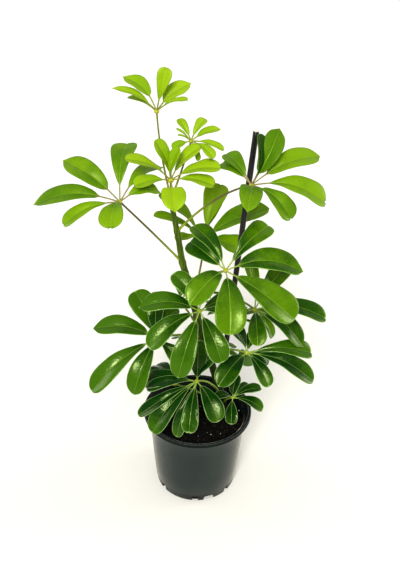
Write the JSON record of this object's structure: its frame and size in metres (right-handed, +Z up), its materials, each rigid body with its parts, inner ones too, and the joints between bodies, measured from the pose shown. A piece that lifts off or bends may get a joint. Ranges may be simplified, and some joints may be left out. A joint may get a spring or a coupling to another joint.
{
  "type": "potted umbrella plant",
  "caption": "Umbrella plant with whorled compound leaves on a leaning stem beside a thin stake, standing in a round plastic nursery pot filled with soil.",
  "frame": {"origin": "centre of the pot's flat base, on the surface that the pot stands on", "axes": "+Z up, +X to the viewer's right and +Y away from the viewer, as the picture sees the plant"},
  "size_m": [0.3446, 0.2539, 0.5794],
  "materials": {
    "pot": "black satin moulded plastic, lightly dusty",
    "soil": "dark moist potting mix of peat, bark and white perlite",
    "stake": "black coated cane with a pale cut end",
    "stem": "green to brown stem with leaf scars",
    "leaf_young": "bright yellow-green satin young leaf",
    "leaf_grown": "mid green glossy leaf",
    "leaf_mature": "green glossy leaf with a pale midrib",
    "leaf_old": "dark green glossy leaf with a pale midrib and edge"
  },
  "bodies": {
    "root": {"pot": "pot", "soil": "soil", "stake": "stake", "stem": "stem", "leaf_crown": "leaf_young", "leaf_crown_small": "leaf_young", "leaf_apex": "leaf_young", "leaf_upper_left": "leaf_grown", "leaf_upper_right": "leaf_grown", "leaf_back_high": "leaf_grown", "leaf_front_high": "leaf_mature", "leaf_right_mid": "leaf_mature", "leaf_right_low": "leaf_old", "leaf_front_mid": "leaf_old", "leaf_left_mid": "leaf_old", "leaf_front_low": "leaf_old", "leaf_base_right": "leaf_old", "leaf_back_left": "leaf_mature", "leaf_back_right": "leaf_mature", "leaf_back_low": "leaf_old", "leaf_back_base": "leaf_old"}
  },
  "joints": []
}
